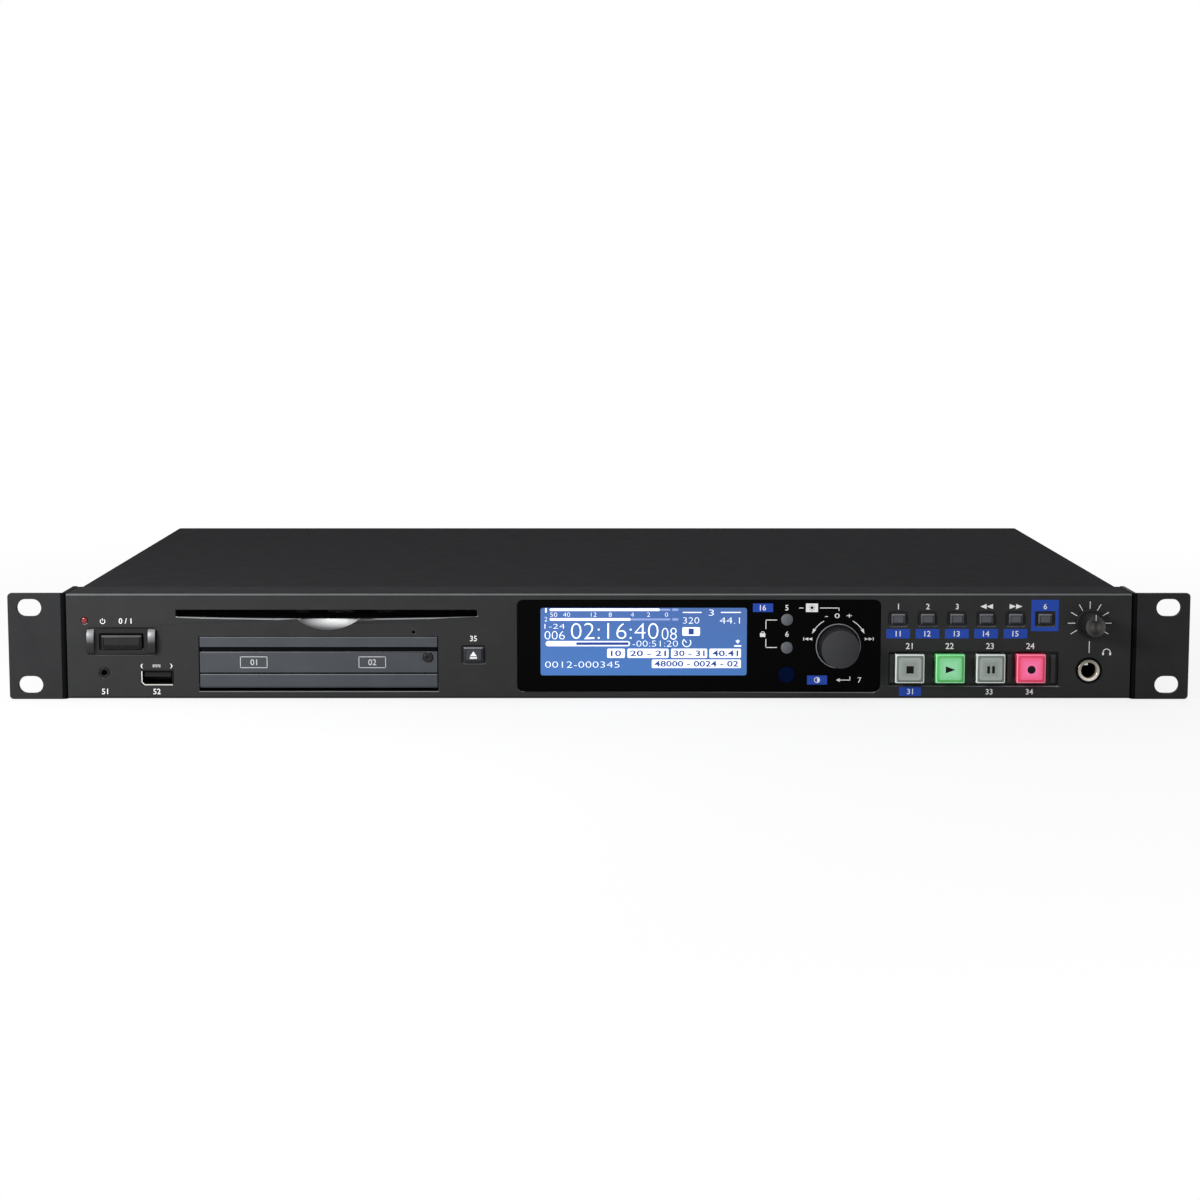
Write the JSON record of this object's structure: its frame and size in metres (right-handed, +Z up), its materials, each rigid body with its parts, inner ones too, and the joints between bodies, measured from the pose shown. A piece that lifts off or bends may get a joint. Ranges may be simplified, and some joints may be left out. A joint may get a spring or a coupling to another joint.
{
  "type": "solid state audio recorder",
  "caption": "Low rack-mount audio recorder with a slot-in disc drive, card slots behind a drop-down door, a blue display, a jog knob and lit transport buttons.",
  "frame": {"origin": "centre of the flat underside of the case, midway between its front panel and its back edge", "axes": "+X to the right seen from the front, along the width; +Y from the front panel to the back; +Z up"},
  "size_m": [0.4826, 0.3, 0.0437],
  "materials": {
    "panel_plastic": "fine satin moulded",
    "dark_plastic": "satin moulded",
    "key_plastic": "satin moulded",
    "door_plastic": "satin moulded",
    "window_pane": "polished",
    "display_glass": "backlit display",
    "deep_blue_lens": "polished",
    "lamp_lens": "polished",
    "clear_cap": "polished translucent",
    "green_cap": "polished translucent",
    "red_cap": "polished translucent",
    "black_steel": "fine textured paint",
    "plated_steel": "zinc plated",
    "bright_metal": "nickel plated",
    "circuit_board": "solder resist",
    "roller_rubber": "matt"
  },
  "bodies": {
    "case": {"front_bezel": "panel_plastic", "rack_ear_left": "black_steel", "rack_ear_right": "black_steel", "top_cover": "black_steel", "bottom_chassis": "plated_steel", "rear_panel": "black_steel", "display_window": "window_pane", "lcd_module": "display_glass", "ir_lens": "deep_blue_lens", "jog_ring": "dark_plastic", "jog_encoder": "dark_plastic", "power_button_guard": "dark_plastic", "standby_lamp": "lamp_lens", "remote_jack": "dark_plastic", "usb_port": "bright_metal", "input_board": "circuit_board", "front_board": "circuit_board", "transport_tray": "dark_plastic", "sd_bay_frame": "dark_plastic", "card_socket_left": "plated_steel", "card_socket_right": "plated_steel", "phones_pot": "plated_steel", "phones_jack": "bright_metal", "main_board": "circuit_board", "power_supply_board": "circuit_board", "disc_drive_case": "plated_steel", "disc_drive_cover": "plated_steel", "spindle_motor": "plated_steel", "mains_inlet": "dark_plastic", "xlr_input_left": "dark_plastic", "xlr_input_right": "dark_plastic", "xlr_output_left": "dark_plastic", "xlr_output_right": "dark_plastic", "rca_block": "bright_metal", "control_connector": "bright_metal", "network_jack": "plated_steel"},
    "power_button": {"power_button": "key_plastic"},
    "home_button": {"home_button": "key_plastic"},
    "media_button": {"media_button": "key_plastic"},
    "eject_button": {"eject_button": "key_plastic"},
    "menu_button": {"menu_button": "key_plastic"},
    "key_button": {"key_button": "key_plastic"},
    "pitch_button": {"pitch_button": "key_plastic"},
    "rewind_button": {"rewind_button": "key_plastic"},
    "forward_button": {"forward_button": "key_plastic"},
    "shift_button": {"shift_button": "key_plastic"},
    "stop_button": {"stop_button": "clear_cap"},
    "play_button": {"play_button": "green_cap"},
    "pause_button": {"pause_button": "clear_cap"},
    "record_button": {"record_button": "red_cap"},
    "jog_rotor": {"jog_rotor": "bright_metal"},
    "jog_knob": {"jog_knob": "dark_plastic"},
    "phones_knob": {"phones_knob": "dark_plastic"},
    "card_door": {"sd_door": "door_plastic"},
    "security_screw": {"security_screw": "black_steel"},
    "loading_roller": {"loading_roller": "roller_rubber"},
    "spindle_turntable": {"spindle_turntable": "dark_plastic"},
    "pickup_sled": {"pickup_sled": "dark_plastic"},
    "lead_screw": {"lead_screw": "bright_metal"}
  },
  "joints": [
    {"name": "power_press", "type": "slide", "parent": "case", "child": "power_button", "axis": [0, 1, 0], "range_m": [0, 0.0008], "stiffness_N_per_m": 700, "springref_m": -0.0008},
    {"name": "home_press", "type": "slide", "parent": "case", "child": "home_button", "axis": [0, 1, 0], "range_m": [0, 0.0006], "stiffness_N_per_m": 700, "springref_m": -0.0006},
    {"name": "media_press", "type": "slide", "parent": "case", "child": "media_button", "axis": [0, 1, 0], "range_m": [0, 0.0006], "stiffness_N_per_m": 700, "springref_m": -0.0006},
    {"name": "eject_press", "type": "slide", "parent": "case", "child": "eject_button", "axis": [0, 1, 0], "range_m": [0, 0.0006], "stiffness_N_per_m": 700, "springref_m": -0.0006},
    {"name": "menu_press", "type": "slide", "parent": "case", "child": "menu_button", "axis": [0, 1, 0], "range_m": [0, 0.0006], "stiffness_N_per_m": 700, "springref_m": -0.0006},
    {"name": "key_press", "type": "slide", "parent": "case", "child": "key_button", "axis": [0, 1, 0], "range_m": [0, 0.0006], "stiffness_N_per_m": 700, "springref_m": -0.0006},
    {"name": "pitch_press", "type": "slide", "parent": "case", "child": "pitch_button", "axis": [0, 1, 0], "range_m": [0, 0.0006], "stiffness_N_per_m": 700, "springref_m": -0.0006},
    {"name": "rewind_press", "type": "slide", "parent": "case", "child": "rewind_button", "axis": [0, 1, 0], "range_m": [0, 0.0006], "stiffness_N_per_m": 700, "springref_m": -0.0006},
    {"name": "forward_press", "type": "slide", "parent": "case", "child": "forward_button", "axis": [0, 1, 0], "range_m": [0, 0.0006], "stiffness_N_per_m": 700, "springref_m": -0.0006},
    {"name": "shift_press", "type": "slide", "parent": "case", "child": "shift_button", "axis": [0, 1, 0], "range_m": [0, 0.0006], "stiffness_N_per_m": 700, "springref_m": -0.0006},
    {"name": "stop_press", "type": "slide", "parent": "case", "child": "stop_button", "axis": [0, 1, 0], "range_m": [0, 0.0009], "stiffness_N_per_m": 700, "springref_m": -0.0009},
    {"name": "play_press", "type": "slide", "parent": "case", "child": "play_button", "axis": [0, 1, 0], "range_m": [0, 0.0009], "stiffness_N_per_m": 700, "springref_m": -0.0009},
    {"name": "pause_press", "type": "slide", "parent": "case", "child": "pause_button", "axis": [0, 1, 0], "range_m": [0, 0.0009], "stiffness_N_per_m": 700, "springref_m": -0.0009},
    {"name": "record_press", "type": "slide", "parent": "case", "child": "record_button", "axis": [0, 1, 0], "range_m": [0, 0.0009], "stiffness_N_per_m": 700, "springref_m": -0.0009},
    {"name": "jog_turn", "type": "hinge", "parent": "case", "child": "jog_rotor", "pos_m": [0.0978, -0.128, 0.02204], "axis": [0, 1, 0], "continuous": true},
    {"name": "jog_press", "type": "slide", "parent": "jog_rotor", "child": "jog_knob", "axis": [0, 1, 0], "range_m": [0, 0.0005], "stiffness_N_per_m": 900, "springref_m": -0.0005},
    {"name": "phones_turn", "type": "hinge", "parent": "case", "child": "phones_knob", "pos_m": [0.2004, -0.14, 0.0314], "axis": [0, 1, 0], "range_deg": [-150, 150]},
    {"name": "card_door_drop", "type": "hinge", "parent": "case", "child": "card_door", "pos_m": [-0.11463, -0.13883, 0.00564], "axis": [1, 0, 0], "range_deg": [0, 90]},
    {"name": "security_screw_turn", "type": "hinge", "parent": "card_door", "child": "security_screw", "pos_m": [-0.06988, -0.139, 0.01729], "axis": [0, -1, 0], "range_deg": [0, 1080]},
    {"name": "roller_turn", "type": "hinge", "parent": "case", "child": "loading_roller", "pos_m": [-0.11125, -0.127, 0.0319], "axis": [1, 0, 0], "continuous": true},
    {"name": "spindle_turn", "type": "hinge", "parent": "case", "child": "spindle_turntable", "pos_m": [-0.11125, -0.072, 0.03], "axis": [0, 0, 1], "continuous": true},
    {"name": "pickup_slide", "type": "slide", "parent": "case", "child": "pickup_sled", "axis": [0, 1, 0], "range_m": [0, 0.034]},
    {"name": "lead_screw_turn", "type": "hinge", "parent": "case", "child": "lead_screw", "pos_m": [-0.09325, -0.03, 0.03155], "axis": [0, 1, 0], "range_deg": [0, 4085]}
  ],
  "couplings": [
    {"joint": "lead_screw_turn", "follows": "pickup_slide", "rad_per_m": 2094.4}
  ]
}
